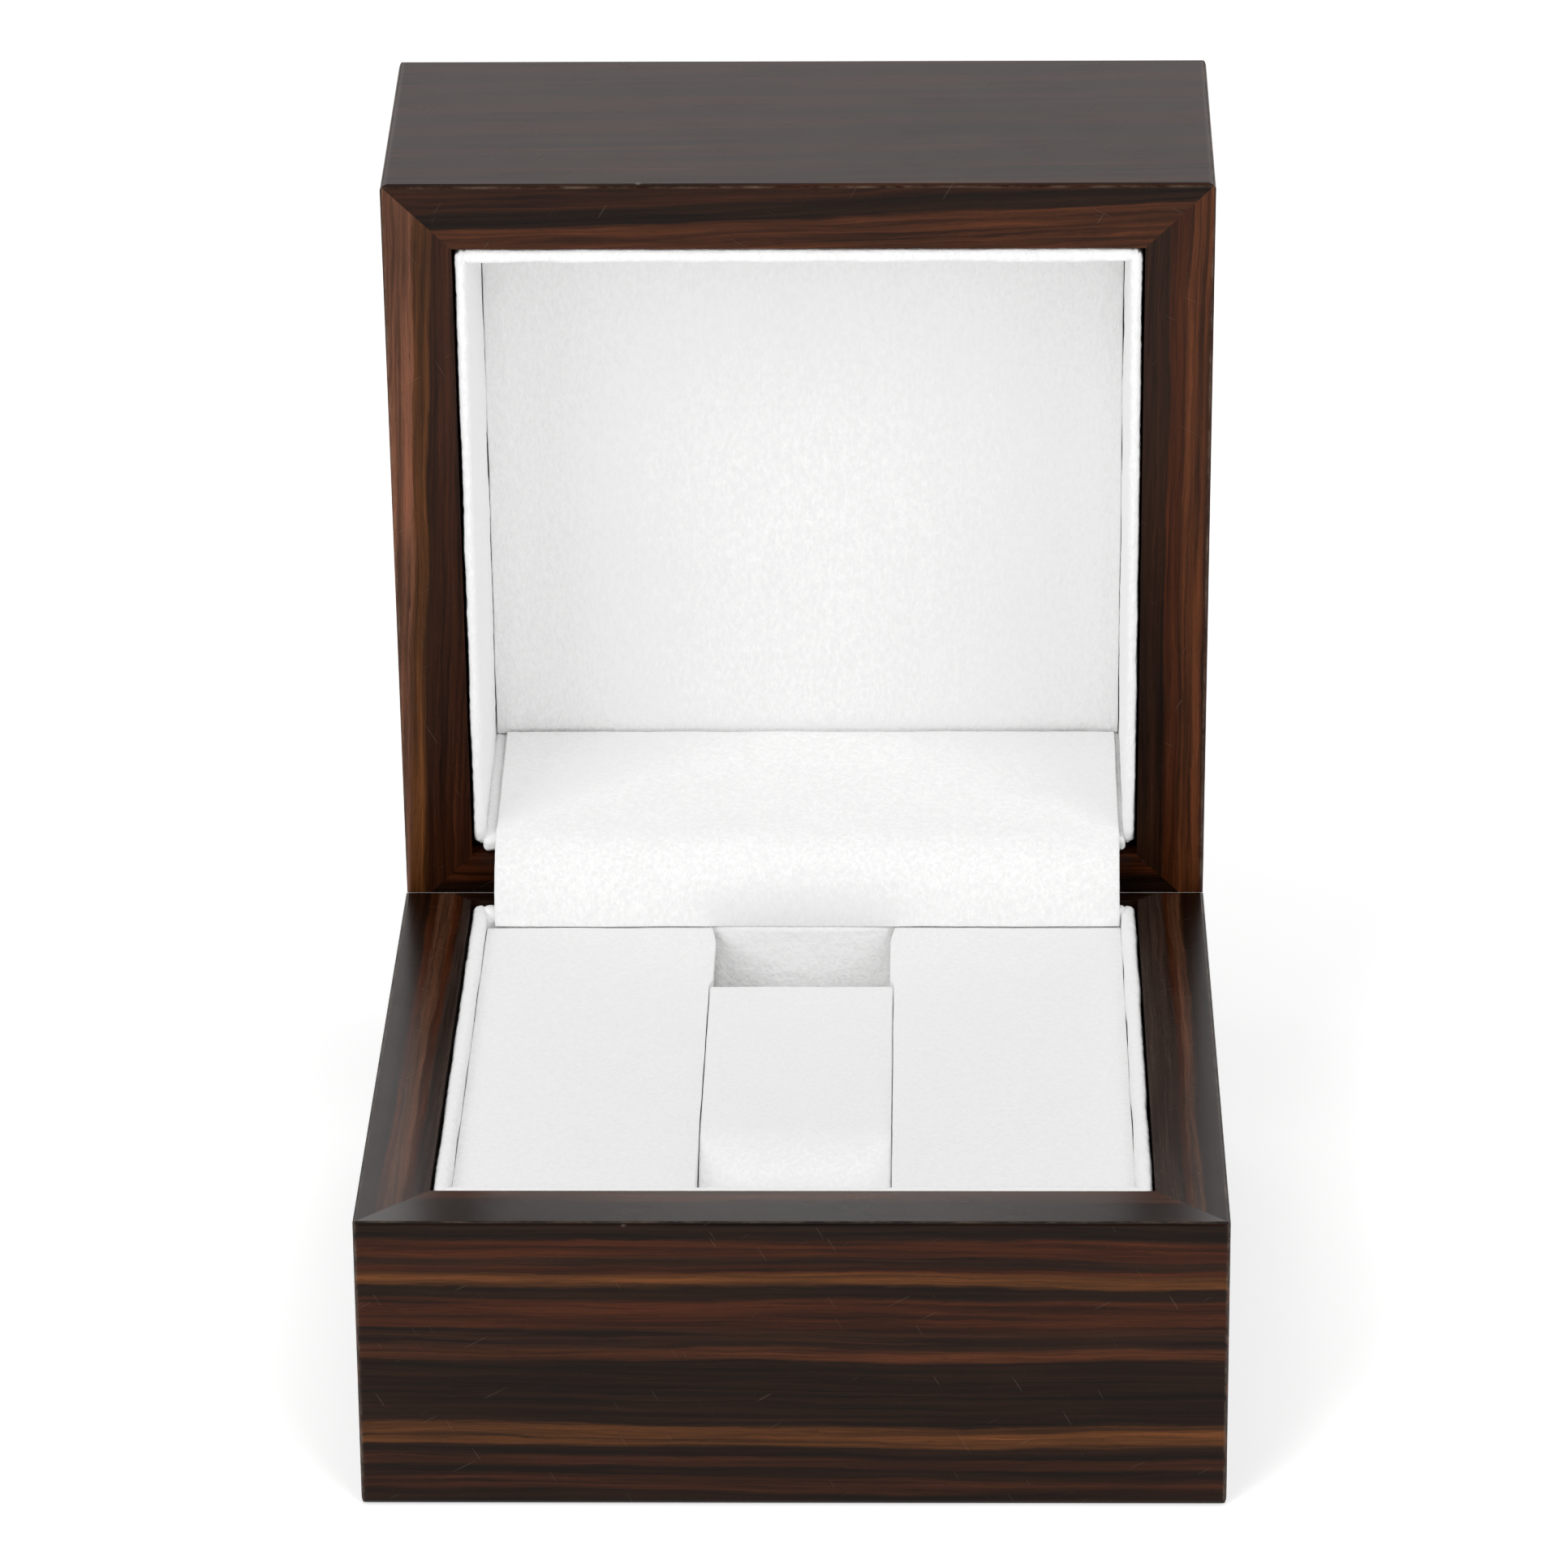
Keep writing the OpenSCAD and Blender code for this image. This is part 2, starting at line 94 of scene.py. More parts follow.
class Nodes:
    """A small builder for shader trees."""

    def __init__(self, name):
        self.mat = bpy.data.materials.new(name)
        self.mat.use_nodes = True
        self.tree = self.mat.node_tree
        self.tree.nodes.clear()
        self.out = self.tree.nodes.new("ShaderNodeOutputMaterial")
        self.bsdf = self.tree.nodes.new("ShaderNodeBsdfPrincipled")
        self.tree.links.new(self.bsdf.outputs[0], self.out.inputs[0])
        self.coord = self.tree.nodes.new("ShaderNodeTexCoord").outputs["Object"]

    def put(self, socket, value):
        if isinstance(value, bpy.types.NodeSocket):
            self.tree.links.new(value, socket)
        else:
            socket.default_value = value

    def set(self, name, value):
        self.put(self.bsdf.inputs[name], value)

    def math(self, op, a, b=0.0):
        n = self.tree.nodes.new("ShaderNodeMath")
        n.operation = op
        self.put(n.inputs[0], a)
        self.put(n.inputs[1], b)
        return n.outputs[0]

    def times(self, a, b):
        return self.math("MULTIPLY", a, b)

    def dot(self, vec, direction):
        n = self.tree.nodes.new("ShaderNodeVectorMath")
        n.operation = "DOT_PRODUCT"
        self.put(n.inputs[0], vec)
        self.put(n.inputs[1], tuple(direction))
        return n.outputs["Value"]

    def vec(self, x, y, z):
        n = self.tree.nodes.new("ShaderNodeCombineXYZ")
        for i, v in enumerate((x, y, z)):
            self.put(n.inputs[i], v)
        return n.outputs[0]

    def noise(self, vec, scale=1.0, detail=3.0, rough=0.5):
        n = self.tree.nodes.new("ShaderNodeTexNoise")
        self.put(n.inputs["Vector"], vec)
        self.put(n.inputs["Scale"], scale)
        self.put(n.inputs["Detail"], detail)
        self.put(n.inputs["Roughness"], rough)
        return n.outputs["Fac"]

    def voronoi(self, vec, scale):
        n = self.tree.nodes.new("ShaderNodeTexVoronoi")
        self.put(n.inputs["Vector"], vec)
        self.put(n.inputs["Scale"], scale)
        return n.outputs["Distance"]

    def ramp(self, fac, stops):
        n = self.tree.nodes.new("ShaderNodeValToRGB")
        marks = n.color_ramp.elements
        while len(marks) > 1:
            marks.remove(marks[-1])
        for i, (place, colour) in enumerate(stops):
            mark = marks[0] if i == 0 else marks.new(place)
            mark.position = place
            mark.color = (*colour, 1.0)
        self.put(n.inputs[0], fac)
        return n.outputs[0]

    def map(self, v, a0, a1, b0, b1):
        n = self.tree.nodes.new("ShaderNodeMapRange")
        n.clamp = True
        for i, x in enumerate((v, a0, a1, b0, b1)):
            self.put(n.inputs[i], x)
        return n.outputs[0]

    def mix(self, fac, a, b, mode="MIX"):
        n = self.tree.nodes.new("ShaderNodeMix")
        n.data_type = "RGBA"
        n.blend_type = mode
        self.put(n.inputs[0], fac)
        for i, v in ((6, a), (7, b)):
            self.put(n.inputs[i], v if isinstance(v, bpy.types.NodeSocket) else (*v, 1.0))
        return n.outputs[2]

    def shaded(self, colour, shade):
        """The colour made lighter or darker by a plain number."""
        return self.mix(1.0, colour, self.vec(shade, shade, shade), "MULTIPLY")

    def bump(self, height, strength, distance, normal=None):
        n = self.tree.nodes.new("ShaderNodeBump")
        self.put(n.inputs["Strength"], strength)
        self.put(n.inputs["Distance"], distance)
        self.put(n.inputs["Height"], height)
        if normal is not None:
            self.put(n.inputs["Normal"], normal)
        return n.outputs[0]


# ---------------------------------------------------------------- veneer

BLACK = (0.0100, 0.0036, 0.0014)
DARK = (0.0200, 0.0070, 0.0030)
UMBER = (0.0290, 0.0082, 0.0030)
RED = (0.0430, 0.0105, 0.0030)
BROWN = (0.0560, 0.0165, 0.0055)
ORANGE = (0.0860, 0.0300, 0.0080)
RUST = (0.0750, 0.0220, 0.0070)
TAN = (0.1240, 0.0510, 0.0280)
CEDAR = (0.0800, 0.0320, 0.0160)
# greyed dark veneer for the inner part of the side rims: the grey is a painted reflection
SMOKE_WITH_SHEEN = (0.0330, 0.0200, 0.0150)

HALF = node_box("base_wall_front")[1].x
RIM = node_box("base_wall_front")[1].z
LID_Z = node_box("lid_wall_front", True)[0].z
FIGURE_SPAN = (-12.0, 44.0)  # millimetres from the outer arris, in over the rim (below 0) and along the face
MATCH_SHIFT = 11.0  # millimetres of the figure cut away at the joint of a mirrored pair


class Sheet(Nodes):
    """A sheet of veneer that lies on a wall and folds over its rim. Places on it are in millimetres: grain
    goes along the figure, width across it from the rim's outer arris, and depth into the wood."""

    def __init__(self, name, along, across, origin, seed, lid, matched):
        super().__init__(name)
        self.seed = seed
        turned = LID_ROT if lid else Matrix.Identity(3)
        start = Vector(lid_place(origin) if lid else base_place(origin))

        def axis(direction):
            """Millimetres from the origin along a direction of the closed box."""
            way = turned @ Vector(direction)
            return self.math("SUBTRACT", self.dot(self.coord, way * 1000.0), start.dot(way) * 1000.0)

        self.grain = axis(along)
        self.width = axis(across)
        self.to_arris = self.math("ABSOLUTE", self.width)
        if matched:
            self.width = self.math("SUBTRACT", self.to_arris, MATCH_SHIFT)
            self.to_arris = self.math("ABSOLUTE", self.math("SUBTRACT", self.to_arris, HALF))
        self.depth = axis(Vector(along).cross(Vector(across)).normalized())
        self.place = self.vec(self.grain, self.width, self.depth)

    def figured(self, width, per_grain, per_width, shift, detail, rough=0.5):
        """Noise drawn out along the grain, with its own number of waves per millimetre along and across."""
        place = self.vec(self.times(self.grain, per_grain), self.times(width, per_width), self.seed + shift)
        return self.noise(place, 1.0, detail, rough)

    def sway(self, v, reach):
        """Noise turned into millimetres either way."""
        return self.times(self.math("SUBTRACT", v, 0.5), reach)

    def wandering(self, drift):
        """The width, swaying slowly along the grain and fraying at the edges of the stripes."""
        wander = self.sway(self.figured(self.width, 0.011, 0.03, 0.0, 2.0), 3.4)
        fray = self.sway(self.figured(self.width, 0.055, 0.55, 7.3, 4.0, 0.6), 1.5)
        width = self.math("ADD", self.width, self.math("ADD", wander, fray))
        return self.math("ADD", width, self.times(self.grain, drift))

    def worn_and_highlit_arrises(self):
        """Thin, broken worn patches along the arrises, made lighter as a painted highlight where light
        catches their rounding.
        """
        broken = self.figured(self.width, 0.25, 0.6, 1.7, 4.0, 0.7)
        to_end = self.math("ABSOLUTE", self.math("SUBTRACT", self.math("ABSOLUTE", self.grain), HALF))
        edge = self.math("MINIMUM", self.to_arris, to_end)
        return self.times(self.map(edge, 0.08, 0.30, 1.0, 0.0), self.map(broken, 0.42, 0.70, 0.0, 0.42))

    def nicks(self):
        """A few small nicks in the lacquer."""
        rare = self.map(self.noise(self.place, 0.11, 1.0), 0.5, 0.56, 0.0, 0.6)
        return self.times(self.map(self.voronoi(self.place, 0.085), 0.02, 0.045, 1.0, 0.0), rare)

    def scratches(self, angle, shift, cut):
        """Hairline scratches in the lacquer at an angle to the grain; a higher cut leaves fewer."""
        cos, sin = math.cos(angle), math.sin(angle)
        along = self.math("ADD", self.times(self.grain, cos), self.times(self.width, sin))
        aside = self.math("SUBTRACT", self.times(self.width, cos), self.times(self.grain, sin))
        layer = self.math("ADD", self.times(self.depth, 0.2), self.seed + shift)
        place = self.vec(self.times(along, 0.16), self.times(aside, 4.2), layer)
        return self.map(self.noise(place, 1.0, 0.0), cut, cut + 0.02, 0.0, 1.0)


def veneer(name, along, across, origin, stripes, seed, drift=0.0, lid=False, polish=0.0, matched=False):
    """Striped dark veneer under satin lacquer. along is the grain's direction and across the direction in
    which the stripes follow each other, both in the closed box. polish is the gloss left on the rim, where
    the faces are rubbed down to satin. matched mirrors the figure about the middle."""
    m = Sheet(name, along, across, origin, seed, lid, matched)
    width = m.wandering(drift)
    lo, hi = FIGURE_SPAN
    figure = m.ramp(m.map(width, lo, hi, 0.0, 1.0), [((p - lo) / (hi - lo), c) for p, c in stripes])

    # finer stripes inside the broad ones, then hairline grain and pores
    fine = m.figured(width, 0.02, 1.25, 2.1, 3.0, 0.62)
    hair = m.figured(width, 0.10, 7.0, 4.4, 2.0, 0.6)
    pore = m.map(m.figured(width, 0.55, 9.0, 9.9, 1.0), 0.64, 0.74, 0.0, 1.0)
    light = m.times(m.map(fine, 0.34, 0.70, 0.42, 1.62), m.map(hair, 0.3, 0.7, 0.72, 1.28))
    light = m.times(light, m.math("SUBTRACT", 1.0, m.times(pore, 0.35)))
    tone = m.figured(width, 0.03, 0.12, 5.0, 2.0)
    figure = m.mix(m.map(tone, 0.4, 0.75, 0.0, 0.45), figure, DARK)
    colour = m.shaded(figure, light)

    nicks = m.nicks()
    lines = m.math("MAXIMUM", m.scratches(1.05, 0.0, 0.845), m.scratches(-0.5, 3.0, 0.85))
    # pale along the arrises: partly worn lacquer, partly a painted highlight on the rounded edge
    colour = m.mix(m.worn_and_highlit_arrises(), colour, (0.20, 0.145, 0.10))
    colour = m.mix(nicks, colour, (0.16, 0.13, 0.11))
    colour = m.mix(m.times(lines, 0.22), colour, (0.13, 0.10, 0.08))
    m.set("Base Color", colour)
    haze = m.map(m.noise(m.place, 0.12, 2.0), 0.3, 0.7, 0.24, 0.28)
    m.set("Roughness", m.math("ADD", haze, m.times(lines, 0.2)))
    m.set("IOR", 1.22)
    if polish:
        m.set("Coat Weight", m.map(m.width, -0.25, 0.25, polish, 0.0))
        m.set("Coat Roughness", 0.2)
    grain = m.bump(m.math("ADD", m.times(pore, -0.25), m.times(hair, 0.12)), 0.2, mm(0.04))
    m.set("Normal", m.bump(m.math("SUBTRACT", lines, m.times(nicks, 0.5)), 0.12, mm(0.03), grain))
    return m.mat


SOFT_BORDER = 0.22  # half the width over which two stripes run into each other


def bands(start, *stripes):
    """Stripes as (end, colour), each beginning where the last ends, turned into stops of a colour ramp."""
    stops = []
    for end, colour in stripes:
        stops += [(start + SOFT_BORDER, colour), (end - SOFT_BORDER, colour)]
        start = end
    return stops[1:-1]


FRONT = bands(
    -11, (-5.8, BROWN), (2.8, BLACK), (5.1, RED), (6.4, DARK), (7.3, RED), (9.1, ORANGE), (11.1, BLACK),
    (15.2, RED), (18.0, DARK), (19.6, BROWN), (28.8, BLACK), (31.8, ORANGE), (33.3, BLACK), (34.9, UMBER),
    (36.3, BLACK), (38.3, UMBER), (44, BLACK),
)
BACK = bands(
    -11, (1.5, BLACK), (3.5, RED), (7.0, DARK), (8.6, BROWN), (12.5, BLACK), (16.0, RED), (20.5, BLACK),
    (23.0, ORANGE), (29.0, DARK), (31.0, RED), (35.0, BLACK), (36.5, BROWN), (44, BLACK),
)
LEFT = bands(
    -11, (-7.0, SMOKE_WITH_SHEEN), (-5.9, RED), (-3.9, CEDAR), (-2.8, RED), (2.5, BLACK), (4.0, RED), (8.0, BLACK),
    (9.5, BROWN), (13.0, DARK), (17.5, RED), (19.5, BLACK), (22.0, ORANGE), (27.0, BLACK), (30.0, RED),
    (44, DARK),
)
RIGHT = bands(
    -11, (-4.8, SMOKE_WITH_SHEEN), (-4.0, RED), (-2.6, CEDAR), (3.5, BLACK), (5.5, RED), (9.0, BLACK), (11.5, BROWN),
    (16.0, BLACK), (18.0, RED), (22.5, DARK), (24.0, ORANGE), (30.0, BLACK), (33.5, RED), (44, BLACK),
)
LID_LEFT = bands(
    -11, (-4.4, UMBER), (-2.2, ORANGE), (2.2, TAN), (3.8, DARK), (5.5, RED), (9.0, BLACK), (11.5, ORANGE),
    (15.0, BLACK), (19.0, RED), (21.0, DARK), (22.5, BROWN), (29.0, BLACK), (32.0, BROWN), (35.0, BLACK),
    (36.5, RED), (44, DARK),
)
LID_RIGHT = bands(
    -11, (-5.6, DARK), (-3.6, RED), (-0.4, RUST), (2.0, UMBER), (5.0, BLACK), (7.5, RED), (12.0, DARK),
    (14.0, ORANGE), (19.0, BLACK), (23.0, RED), (25.0, DARK), (27.5, BROWN), (33.0, BLACK), (35.5, RED),
    (44, DARK),
)
LID_FRONT = bands(
    -11, (-4.4, BROWN), (-1.9, BLACK), (0.9, UMBER), (4.5, DARK), (8.0, UMBER), (11.0, DARK), (14.0, UMBER),
    (19.0, DARK), (23.0, UMBER), (26.0, DARK), (30.0, UMBER), (33.0, DARK), (36.0, UMBER), (39.0, DARK),
    (44, UMBER),
)
LID_BACK = bands(
    -11, (-5.2, RED), (1.0, BLACK), (4.0, UMBER), (9.0, BLACK), (12.0, BROWN), (17.0, DARK), (19.5, ORANGE),
    (26.0, BLACK), (29.5, RED), (34.0, DARK), (36.0, BROWN), (44, BLACK),
)
TOP = bands(
    -12, (-8.0, BLACK), (-5.0, RED), (0.0, DARK), (3.0, ORANGE), (7.0, BLACK), (11.0, RED), (13.0, BLACK),
    (15.0, BROWN), (21.0, BLACK), (24.0, RED), (26.0, ORANGE), (31.0, BLACK), (34.0, RED), (38.0, DARK),
    (40.0, BROWN), (44, BLACK),
)

# for each wall: grain and outward direction; stripes of the base, their drift in millimetres for each one
# along the grain, and the polish left on the rim; stripes of the lid and their drift
WALLS = {
    "front": ((1, 0, 0), (0, -1, 0), (FRONT, -0.007, 0.52), (LID_FRONT, -0.039)),
    "back": ((1, 0, 0), (0, 1, 0), (BACK, 0.006, 0.3), (LID_BACK, 0.007)),
    "left": ((0, 1, 0), (-1, 0, 0), (LEFT, 0.006, 0.12), (LID_LEFT, -0.038)),
    "right": ((0, 1, 0), (1, 0, 0), (RIGHT, 0.006, 0.12), (LID_RIGHT, 0.007)),
}
UP = Vector((0, 0, 1))


def paint(node, mat):
    """Gives a CAD node its one material."""
    o = frame["nodes"][node]
    o.data.materials.clear()
    o.data.materials.append(mat)


# stripes run down the face and inwards over the rim as one folded sheet
for i, (side, (grain, out, low, high)) in enumerate(WALLS.items()):
    out = Vector(out)
    stripes, drift, polish = low
    arris = out * HALF + UP * RIM
    paint(f"base_wall_{side}", veneer(f"veneer_base_{side}", grain, out - UP, arris, stripes, 3.1 + 11.0 * i,
                                      drift, polish=polish))
    stripes, drift = high
    arris = out * HALF + UP * LID_Z
    paint(f"lid_wall_{side}", veneer(f"veneer_lid_{side}", grain, out + UP, arris, stripes, 57.0 + 13.0 * i,
                                     drift, lid=True))
paint("lid_top_panel", veneer("veneer_lid_top", (1, 0, 0), (0, 1, 0), UP * LID_Z, TOP, 131.0, lid=True,
                              matched=True))


# ---------------------------------------------------------------- suede, felt, metal, board


def suede(name, seed, brushed=None, tone=0.905):
    """Off-white microfibre suede: a short nap in fine pebbles, drawn out along the direction it's brushed in.
    tone is how light it is."""
    m = Nodes(name)
    nap_way = brushed or UP
    across = Vector((1, 0, 0))
    u = m.math("ADD", m.dot(m.coord, across * 1000.0), seed)
    v = m.dot(m.coord, nap_way.cross(across) * 1000.0)
    q = m.vec(u, v, m.dot(m.coord, nap_way * (450.0 if brushed else 1000.0)))
    patch = m.noise(q, 0.14, 2.0, 0.5)
    nap = m.noise(q, 1.7, 2.0, 0.6)
    fibre = m.noise(q, 4.6, 2.0, 0.7)
    deep = 0.046 if brushed else 0.056
    shade = m.math("ADD", m.map(patch, 0.3, 0.7, 0.988, 1.006), m.map(nap, 0.3, 0.7, -deep, deep))
    shade = m.math("ADD", shade, m.map(fibre, 0.3, 0.7, -0.04, 0.04))
    m.set("Base Color", m.shaded((tone, tone, tone * 0.998), shade))
    m.set("Roughness", m.map(nap, 0.3, 0.7, 0.88, 1.0))
    m.set("Specular IOR Level", 0.12)
    m.set("Sheen Weight", 0.12)
    m.set("Sheen Roughness", 0.45)
    m.set("Normal", m.bump(m.math("ADD", m.times(fibre, 0.5), nap), 0.6, mm(0.22)))
    return m.mat


def felt(name):
    m = Nodes(name)
    n = m.noise(m.coord, 900.0, 4.0, 0.7)
    big = m.noise(m.coord, 60.0, 3.0, 0.6)
    fac = m.math("ADD", m.times(n, 0.7), m.times(big, 0.3))
    m.set("Base Color", m.ramp(fac, [(0.3, (0.010, 0.010, 0.012)), (0.7, (0.05, 0.05, 0.055))]))
    m.set("Roughness", m.map(n, 0.3, 0.7, 0.9, 1.0))
    m.set("Sheen Weight", 0.4)
    m.set("Sheen Roughness", 0.5)
    m.set("Normal", m.bump(n, 0.6, mm(0.25)))
    return m.mat


def metal(name, colour, rough, direction):
    """Plated steel with faint drawing lines and handling marks."""
    m = Nodes(name)
    stretch = m.tree.nodes.new("ShaderNodeVectorMath")
    stretch.operation = "MULTIPLY"
    m.put(stretch.inputs[0], m.coord)
    stretch.inputs[1].default_value = direction
    lines = m.noise(stretch.outputs[0], 1.0, 4.0, 0.7)
    smudge = m.noise(m.coord, 260.0, 3.0, 0.6)
    m.set("Base Color", m.mix(m.map(smudge, 0.35, 0.7, 0.0, 0.5), colour, tuple(c * 0.72 for c in colour)))
    m.set("Metallic", 1.0)
    drawn = m.map(lines, 0.3, 0.7, rough - 0.08, rough + 0.1)
    m.set("Roughness", m.math("ADD", drawn, m.map(smudge, 0.5, 0.8, 0.0, 0.12)))
    m.set("Normal", m.bump(lines, 0.12, mm(0.03)))
    return m.mat


def fibreboard(name, a, b):
    m = Nodes(name)
    n = m.noise(m.coord, 700.0, 4.0, 0.75)
    fleck = m.voronoi(m.coord, 900.0)
    fac = m.math("ADD", m.times(n, 0.75), m.times(fleck, 0.3))
    m.set("Base Color", m.ramp(fac, [(0.3, a), (0.8, b)]))
    m.set("Roughness", m.map(n, 0.3, 0.7, 0.75, 0.95))
    m.set("Normal", m.bump(fac, 0.4, mm(0.15)))
    return m.mat


def moulded(name):
    """Matt moulded plastic of the collar's core."""
    m = Nodes(name)
    n = m.noise(m.coord, 1500.0, 3.0, 0.6)
    flow = m.noise(m.coord, 90.0, 2.0, 0.5)
    m.set("Base Color", m.ramp(flow, [(0.3, (0.66, 0.66, 0.64)), (0.7, (0.74, 0.74, 0.72))]))
    m.set("Roughness", m.map(n, 0.3, 0.7, 0.45, 0.62))
    m.set("Normal", m.bump(n, 0.2, mm(0.05)))
    return m.mat


NICKEL = metal("hinge_nickel", (0.60, 0.59, 0.56), 0.30, (250.0, 4000.0, 4000.0))
ZINC = metal("screw_zinc", (0.52, 0.53, 0.55), 0.36, (2500.0, 2500.0, 2500.0))
WIRE = metal("spring_wire", (0.34, 0.34, 0.35), 0.34, (600.0, 3000.0, 3000.0))
for n in ("hinge_base_leaf", "hinge_lid_leaf", "hinge_pin"):
    paint(n, NICKEL)
for n in ("hinge_base_screws", "hinge_lid_screws"):
    paint(n, ZINC)
for n in ("hinge_spring", "hinge_spring_arm"):
    paint(n, WIRE)
BOARD = fibreboard("fibreboard", (0.26, 0.17, 0.10), (0.50, 0.38, 0.25))
for n in ("base_floor", "side_block_left", "side_block_right"):
    paint(n, BOARD)
CORE = moulded("collar_plastic")
for n in ("collar_core_lower", "collar_core_upper"):
    paint(n, CORE)


# ---------------------------------------------------------------- soft forms


def lump(p, scale, seed):
    """Smooth noise at a point of a soft block."""
    return noise.noise(Vector((p[0] * scale + seed, p[1] * scale - seed * 0.6, p[2] * scale + seed * 1.7)))


def cuts(a, b, r, step):
    """Places along one side of a soft block, closer together round its edges."""
    edge = [r - r * math.tan(math.radians(45.0 * k / 3)) for k in (3, 2, 1, 0)]
    n = max(1, round((b - a - 2 * r) / step))
    mid = [a + r + (b - a - 2 * r) * k / n for k in range(1, n)]
    return [a + e for e in edge] + mid + [b - e for e in reversed(edge)]


DEPTH_STEP = 1.2  # about the size of a face along a soft block's depth


def soft_block(name, mat, lo, hi, r, step, place, face=(2, 1), crown=0.0, rough=0.05, fuzz=0.03, seed=1.0,
               corners=(), grow=(0.0, 0.0, 0.0), even=False, roll=(0.0, 1.0), press=None):
    """A closed block with rounded edges, a low crown on its showing face and an uneven nap.

    lo, hi and r (the edges' radius) are in the block's own millimetres, and step is about the size of a face.
    place() turns a point into row-frame metres. face is the axis and side that shows. rough is the depth of
    the broad unevenness and fuzz that of the fine; even spreads them over all sides. corners lists (axis a,
    side, axis b, side, radius) for larger rounded corners. grow moves the sides out towards their neighbours.
    roll is how far the showing face falls away at its edges and over what length. press moves a finished
    point. Gives the object and the points of its hidden back half."""
    lo = Vector(lo) - Vector(grow)
    hi = Vector(hi) + Vector(grow)
    marks = [cuts(lo[i], hi[i], r, step if i != face[0] else DEPTH_STEP) for i in range(3)]
    n = [len(m) - 1 for m in marks]
    back, front = (lo[face[0]], hi[face[0]]) if face[1] > 0 else (hi[face[0]], lo[face[0]])
    flat = [i for i in range(3) if i != face[0]]
    index, verts, hidden = {}, [], []

    def vertex(i, j, k):
        key = (i, j, k)
        if key in index:
            return index[key]
        p = Vector((marks[0][i], marks[1][j], marks[2][k]))
        core = Vector([min(max(p[a], lo[a] + r), hi[a] - r) for a in range(3)])
        nrm = p - core
        nrm = nrm.normalized() if nrm.length > 1e-9 else UP
        p = core + nrm * r
        for a, side_a, b, side_b, big in corners:
            centre_a = (hi[a] - big) if side_a > 0 else (lo[a] + big)
            centre_b = (hi[b] - big) if side_b > 0 else (lo[b] + big)
            past_a = (p[a] - centre_a) * side_a
            past_b = (p[b] - centre_b) * side_b
            if past_a > 0 and past_b > 0:
                pull = max(past_a, past_b) / math.hypot(past_a, past_b)
                p[a] = centre_a + side_a * past_a * pull
                p[b] = centre_b + side_b * past_b * pull
        side = min(1.0, max(0.0, (p[face[0]] - back) / (front - back)))
        u, v = [(2 * p[a] - lo[a] - hi[a]) / (hi[a] - lo[a]) for a in flat]
        p[face[0]] += face[1] * crown * side * (1 - u ** 4) * (1 - v ** 4)
        if roll[0]:
            near = min(min(p[a] - lo[a], hi[a] - p[a]) for a in flat)
            p[face[0]] -= face[1] * roll[0] * side * math.exp(-max(0.0, near) / roll[1])
        nap = lump(p, 1.1, seed + 5) + 0.6 * lump(p, 2.3, seed + 9) - 0.5
        height = lump(p, 0.13, seed) * rough + nap * fuzz
        p += nrm * height * (1.0 if even else 0.25 + 0.75 * side)
        if press:
            p = press(p)
        hidden.append(side < 0.5)
        verts.append(place(p))
        index[key] = len(verts) - 1
        return index[key]

    faces = []
    for a in range(3):
        b, c = (a + 1) % 3, (a + 2) % 3
        for at in (0, n[a]):
            for s in range(n[b]):
                for t in range(n[c]):
                    quad = []
                    for ds, dt in ((0, 0), (1, 0), (1, 1), (0, 1)):
                        key = [0, 0, 0]
                        key[a], key[b], key[c] = at, s + ds, t + dt
                        quad.append(vertex(*key))
                    faces.append(quad if at else list(reversed(quad)))
    me = bpy.data.meshes.new(name)
    me.from_pydata(verts, [], faces)
    bm = bmesh.new()
    bm.from_mesh(me)
    bmesh.ops.recalc_face_normals(bm, faces=bm.faces)
    bm.to_mesh(me)
    bm.free()
    me.polygons.foreach_set("use_smooth", [True] * len(me.polygons))
    me.materials.append(mat)
    o = bpy.data.objects.new(name, me)
    bpy.context.scene.collection.objects.link(o)
    return o, [i for i, x in enumerate(hidden) if x]


FRAMES = 20  # length of a cloth simulation
PRESSURE = 4.0
ENLARGED = 20.0  # the cloth solver suits things of a metre or more


def puff(o, held, keep, cap):
    """Swells the suede over its foam with a short cloth simulation of an enlarged copy. The glued side is
    held. keep is the direction in which the cover may move, or None for any but sideways, and cap is the
    farthest it goes in millimetres."""
    before = [v.co.copy() for v in o.data.vertices]
    centre = sum(before, Vector()) / len(before)
    sim = bpy.data.objects.new(o.name + "_sim", o.data.copy())
    bpy.context.scene.collection.objects.link(sim)
    for v, co in zip(sim.data.vertices, before):
        v.co = (co - centre) * ENLARGED
    sim.vertex_groups.new(name="held").add(held, 1.0, "REPLACE")
    cloth = sim.modifiers.new("cloth", "CLOTH")
    cloth.settings.vertex_group_mass = "held"
    cloth.settings.quality = 4
    cloth.settings.use_pressure = True
    cloth.settings.uniform_pressure_force = PRESSURE
    cloth.settings.effector_weights.gravity = 0.0
    cloth.point_cache.frame_start, cloth.point_cache.frame_end = 1, FRAMES
    for f in range(1, FRAMES + 1):
        bpy.context.scene.frame_set(f)
    shown = sim.evaluated_get(bpy.context.evaluated_depsgraph_get())
    grown = shown.to_mesh()
    for v, co, g in zip(o.data.vertices, before, grown.vertices):
        move = g.co / ENLARGED + centre - co
        if keep is None:
            move.x = 0.0
        else:
            move = keep * max(0.0, move.dot(keep))
        if move.length > mm(cap):
            move *= mm(cap) / move.length
        v.co = co + move
    shown.to_mesh_clear()
    data = sim.data
    bpy.data.objects.remove(sim)
    bpy.data.meshes.remove(data)
    bpy.context.scene.frame_set(1)
    o.data.update()


def lining(o, body, node):
    """A padded piece of suede in place of its CAD node."""
    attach(o, body)
    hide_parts(node)


